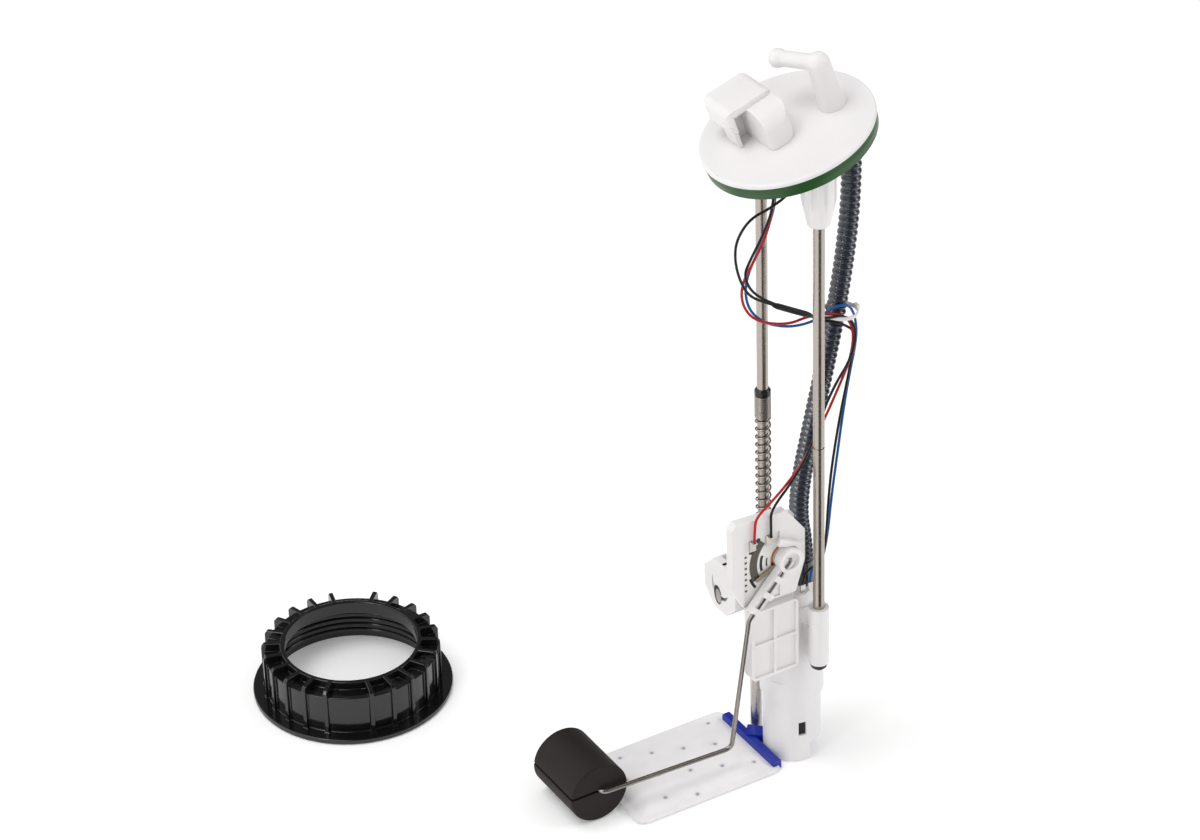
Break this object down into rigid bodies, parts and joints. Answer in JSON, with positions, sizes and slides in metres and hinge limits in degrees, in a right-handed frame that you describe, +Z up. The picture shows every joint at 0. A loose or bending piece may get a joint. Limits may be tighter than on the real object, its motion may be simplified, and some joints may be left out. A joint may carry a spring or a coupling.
{
  "type": "fuel pump",
  "caption": "Fuel pump module for a tank: cover on two guide rods, pump in its cup, strainer bag, level sender with float arm, hose, wires and lock ring.",
  "frame": {"origin": "foot of the pump's cup, on the cup's axis", "axes": "+Z up along the guide rods; the sender faces -Y; the strainer bag lies towards -X and the lock ring stands at -X +Y"},
  "size_m": [0.2868, 0.2926, 0.4431],
  "materials": {
    "white_nylon": "satin moulded",
    "green_seal": "satin rubber",
    "rod_steel": "polished",
    "arm_steel": "satin drawn wire",
    "spring_steel": "drawn wire",
    "tube_steel": "satin",
    "hose_plastic": "glossy corrugated",
    "red_wire": "insulation",
    "blue_wire": "insulation",
    "black_wire": "insulation",
    "blue_clip": "satin moulded",
    "float_foam": "closed-cell",
    "felt": "welded felt",
    "black_moulding": "gloss moulded",
    "black_rubber": "matt",
    "card_ceramic": "ceramic card",
    "resistor_ink": "printed ink",
    "contact_brass": "plated",
    "copper": "bare copper",
    "carbon": "pressed carbon",
    "ferrite": "sintered",
    "turbine_plastic": "moulded resin"
  },
  "bodies": {
    "pump_frame": {"pump_cup": "white_nylon", "pump_carrier": "white_nylon", "end_bell": "white_nylon", "inlet_cover": "white_nylon", "chamber_plate": "white_nylon", "sender_frame": "white_nylon", "regulator_cap": "white_nylon", "cable_tie": "white_nylon", "pivot_pin": "rod_steel", "return_spring": "spring_steel", "support_tube": "tube_steel", "pump_can": "tube_steel", "regulator_can": "tube_steel", "fuel_hose": "hose_plastic", "wire_red": "red_wire", "wire_blue": "blue_wire", "wire_black_sender": "black_wire", "wire_black_pump": "black_wire", "wire_splice": "black_wire", "strainer_clip": "blue_clip", "strainer_bag": "felt", "pump_isolator": "black_rubber", "resistor_card": "card_ceramic", "resistor_track": "resistor_ink", "sender_tab_red": "contact_brass", "sender_tab_black": "contact_brass", "pump_tab_feed": "contact_brass", "pump_tab_ground": "contact_brass", "brush_right": "carbon", "brush_left": "carbon", "magnets": "ferrite"},
    "cover_head": {"tank_cover": "white_nylon", "cover_seal": "green_seal", "fuel_elbow": "white_nylon", "connector_housing": "white_nylon", "connector_pins": "contact_brass", "wire_gland": "white_nylon", "front_guide_rod": "rod_steel", "back_guide_rod": "rod_steel", "spring_retainer": "black_rubber", "rod_end_cap": "black_rubber"},
    "rotor": {"rotor_shaft": "rod_steel", "impeller": "turbine_plastic", "armature": "tube_steel", "commutator": "copper"},
    "float_arm": {"arm_hub": "white_nylon", "float_wire": "arm_steel", "wiper": "contact_brass", "float": "float_foam"},
    "check_valve_body": {"check_valve": "contact_brass"},
    "regulator_valve_body": {"regulator_valve": "tube_steel"},
    "lock_ring_body": {"lock_ring": "black_moulding"}
  },
  "joints": [
    {"name": "cover_slide", "type": "slide", "parent": "pump_frame", "child": "cover_head", "axis": [0, 0, 1], "range_m": [-0.035, 0], "stiffness_N_per_m": 400, "springref_m": 0.03, "deforming": ["return_spring", "fuel_hose", "wire_red", "wire_black_sender", "wire_blue", "wire_black_pump", "wire_splice", "cable_tie"]},
    {"name": "float_pivot", "type": "hinge", "parent": "pump_frame", "child": "float_arm", "pos_m": [-0.02, -0.03, 0.1522], "axis": [0, 1, 0], "range_deg": [0, 66]},
    {"name": "rotor_spin", "type": "hinge", "parent": "pump_frame", "child": "rotor", "pos_m": [0, 0, 0.05], "axis": [0, 0, 1], "continuous": true},
    {"name": "check_valve_lift", "type": "slide", "parent": "pump_frame", "child": "check_valve_body", "axis": [0, 0, 1], "range_m": [0, 0.0015], "stiffness_N_per_m": 200, "springref_m": -0.002},
    {"name": "regulator_lift", "type": "slide", "parent": "pump_frame", "child": "regulator_valve_body", "axis": [1, 0, 0], "range_m": [-0.001, 0], "stiffness_N_per_m": 1500, "springref_m": 0.003},
    {"name": "ring_lift", "type": "slide", "parent": "pump_frame", "child": "lock_ring_body", "axis": [0, 0, 1], "range_m": [0, 0.3]}
  ]
}
